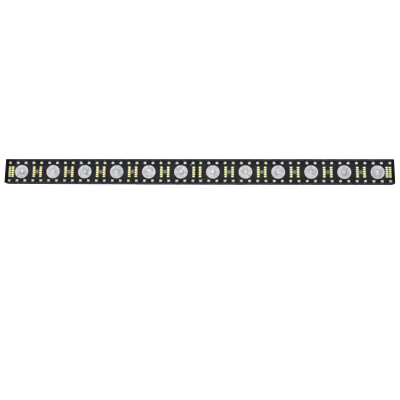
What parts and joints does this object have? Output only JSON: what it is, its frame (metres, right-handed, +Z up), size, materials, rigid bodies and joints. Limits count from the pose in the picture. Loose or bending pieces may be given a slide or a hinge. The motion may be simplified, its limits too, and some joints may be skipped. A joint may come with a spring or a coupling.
{
  "type": "led strip batten",
  "caption": "Recessed stage LED batten with round lenses, SMD LED rows, rear control box and two tilting brackets.",
  "frame": {"origin": "midway between the two clamp bolt holes, on the face of the brackets that meets the truss", "axes": "+X along the batten, -Y the way the light leaves, +Z up"},
  "size_m": [1, 0.09, 0.065],
  "materials": {
    "channel_coat": "black powder coat, satin",
    "black_screw": "black oxide",
    "led_board": "charcoal solder mask",
    "bright_screw": "zinc plated",
    "aluminium_part": "mill finish",
    "rgb_led": "white package",
    "white_led": "yellow phosphor",
    "lens": "clear moulded acrylic",
    "holder_plastic": "white moulded",
    "emitter": "silicone dome over phosphor",
    "emitter_board": "white solder mask on aluminium",
    "green_board": "green solder mask",
    "box_coat": "black powder coat, fine texture",
    "supply": "board with transformer and capacitors",
    "dark_plastic": "black moulded",
    "display_glass": "dark red filter",
    "button_plastic": "light grey moulded",
    "blue_socket": "blue moulded",
    "grey_socket": "grey moulded",
    "latch_metal": "nickel plated",
    "contact": "gold flash",
    "bracket_coat": "black powder coat",
    "zinc": "zinc plated",
    "knob_plastic": "black moulded"
  },
  "bodies": {
    "batten": {"channel": "channel_coat", "end_cap_left": "channel_coat", "end_cap_right": "channel_coat", "end_cap_screws": "black_screw", "led_board_left": "led_board", "led_board_right": "led_board", "board_screws": "bright_screw", "board_spacers": "aluminium_part", "rgb_leds_left": "rgb_led", "rgb_leds_right": "rgb_led", "white_leds_left": "white_led", "white_leds_right": "white_led", "lens_01": "lens", "lens_02": "lens", "lens_03": "lens", "lens_04": "lens", "lens_05": "lens", "lens_06": "lens", "lens_07": "lens", "lens_08": "lens", "lens_09": "lens", "lens_10": "lens", "lens_11": "lens", "lens_12": "lens", "lens_holders": "holder_plastic", "power_leds": "emitter", "emitter_strip_left": "emitter_board", "emitter_strip_right": "emitter_board", "heat_plate": "aluminium_part", "plate_screws": "bright_screw", "driver_boards": "green_board", "box_shell": "box_coat", "box_end_left": "box_coat", "box_end_right": "box_coat", "rear_screws": "black_screw", "power_supply": "supply", "control_board": "green_board", "display_module": "dark_plastic", "display_window": "display_glass", "power_in": "blue_socket", "power_out": "grey_socket", "dmx_in": "dark_plastic", "dmx_out": "dark_plastic", "fuse_holder": "dark_plastic", "socket_contacts": "contact", "socket_screws": "black_screw", "bracket_lugs": "bracket_coat", "safety_eye": "zinc"},
    "bracket_left_arm": {"bracket_left": "bracket_coat", "pivot_bolt_left": "zinc"},
    "bracket_right_arm": {"bracket_right": "bracket_coat", "pivot_bolt_right": "zinc"},
    "left_knob": {"knob_left": "knob_plastic"},
    "right_knob": {"knob_right": "knob_plastic"},
    "menu_key": {"button_menu": "button_plastic"},
    "down_key": {"button_down": "button_plastic"},
    "up_key": {"button_up": "button_plastic"},
    "enter_key": {"button_enter": "button_plastic"},
    "output_latch": {"dmx_latch": "latch_metal"},
    "fuse_top": {"fuse_cap": "dark_plastic"}
  },
  "joints": [
    {"name": "bracket_left_tilt", "type": "hinge", "parent": "batten", "child": "bracket_left_arm", "pos_m": [-0.3, -0.028, 0], "axis": [1, 0, 0], "range_deg": [-90, 90]},
    {"name": "bracket_right_tilt", "type": "hinge", "parent": "batten", "child": "bracket_right_arm", "pos_m": [0.3, -0.028, 0], "axis": [1, 0, 0], "range_deg": [-90, 90]},
    {"name": "knob_left_turn", "type": "hinge", "parent": "bracket_left_arm", "child": "left_knob", "pos_m": [-0.33, -0.028, 0], "axis": [-1, 0, 0], "range_deg": [0, 180]},
    {"name": "knob_right_turn", "type": "hinge", "parent": "bracket_right_arm", "child": "right_knob", "pos_m": [0.33, -0.028, 0], "axis": [1, 0, 0], "range_deg": [0, 180]},
    {"name": "menu_press", "type": "slide", "parent": "batten", "child": "menu_key", "axis": [0, -1, 0], "range_m": [0, 0.0008], "stiffness_N_per_m": 300, "springref_m": -0.003},
    {"name": "down_press", "type": "slide", "parent": "batten", "child": "down_key", "axis": [0, -1, 0], "range_m": [0, 0.0008], "stiffness_N_per_m": 300, "springref_m": -0.003},
    {"name": "up_press", "type": "slide", "parent": "batten", "child": "up_key", "axis": [0, -1, 0], "range_m": [0, 0.0008], "stiffness_N_per_m": 300, "springref_m": -0.003},
    {"name": "enter_press", "type": "slide", "parent": "batten", "child": "enter_key", "axis": [0, -1, 0], "range_m": [0, 0.0008], "stiffness_N_per_m": 300, "springref_m": -0.003},
    {"name": "latch_press", "type": "slide", "parent": "batten", "child": "output_latch", "axis": [0, -1, 0], "range_m": [0, 0.0012], "stiffness_N_per_m": 400, "springref_m": -0.003},
    {"name": "fuse_cap_turn", "type": "hinge", "parent": "batten", "child": "fuse_top", "pos_m": [-0.085, -0.026, 0], "axis": [0, 1, 0], "range_deg": [0, 90]}
  ]
}
